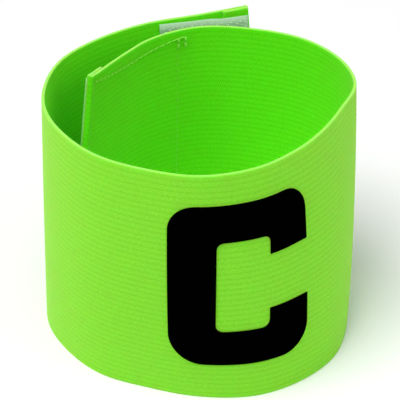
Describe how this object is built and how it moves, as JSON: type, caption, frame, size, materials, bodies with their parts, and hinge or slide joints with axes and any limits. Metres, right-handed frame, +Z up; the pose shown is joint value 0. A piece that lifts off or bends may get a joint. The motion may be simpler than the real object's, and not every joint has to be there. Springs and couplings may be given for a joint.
{
  "type": "captain armband",
  "caption": "Wide elastic band worn round the upper arm, standing as an open loop with lapped hook and loop ends and a block letter on the front.",
  "frame": {"origin": "on the ground, under the middle of the standing band's outer size", "axes": "+Z up along the way an arm goes through, -Y towards the front with the letter, +X to its right as seen"},
  "size_m": [0.0884, 0.099, 0.0721],
  "materials": {
    "elastic": "ribbed woven elastic, fluorescent green",
    "hook_tape": "pale nylon hook tape",
    "loop_tape": "brushed nylon loop tape",
    "letter": "matt black flock print"
  },
  "bodies": {
    "root": {"elastic_band": "elastic", "hook_tape": "hook_tape", "loop_tape": "loop_tape", "front_letter": "letter"}
  },
  "joints": []
}
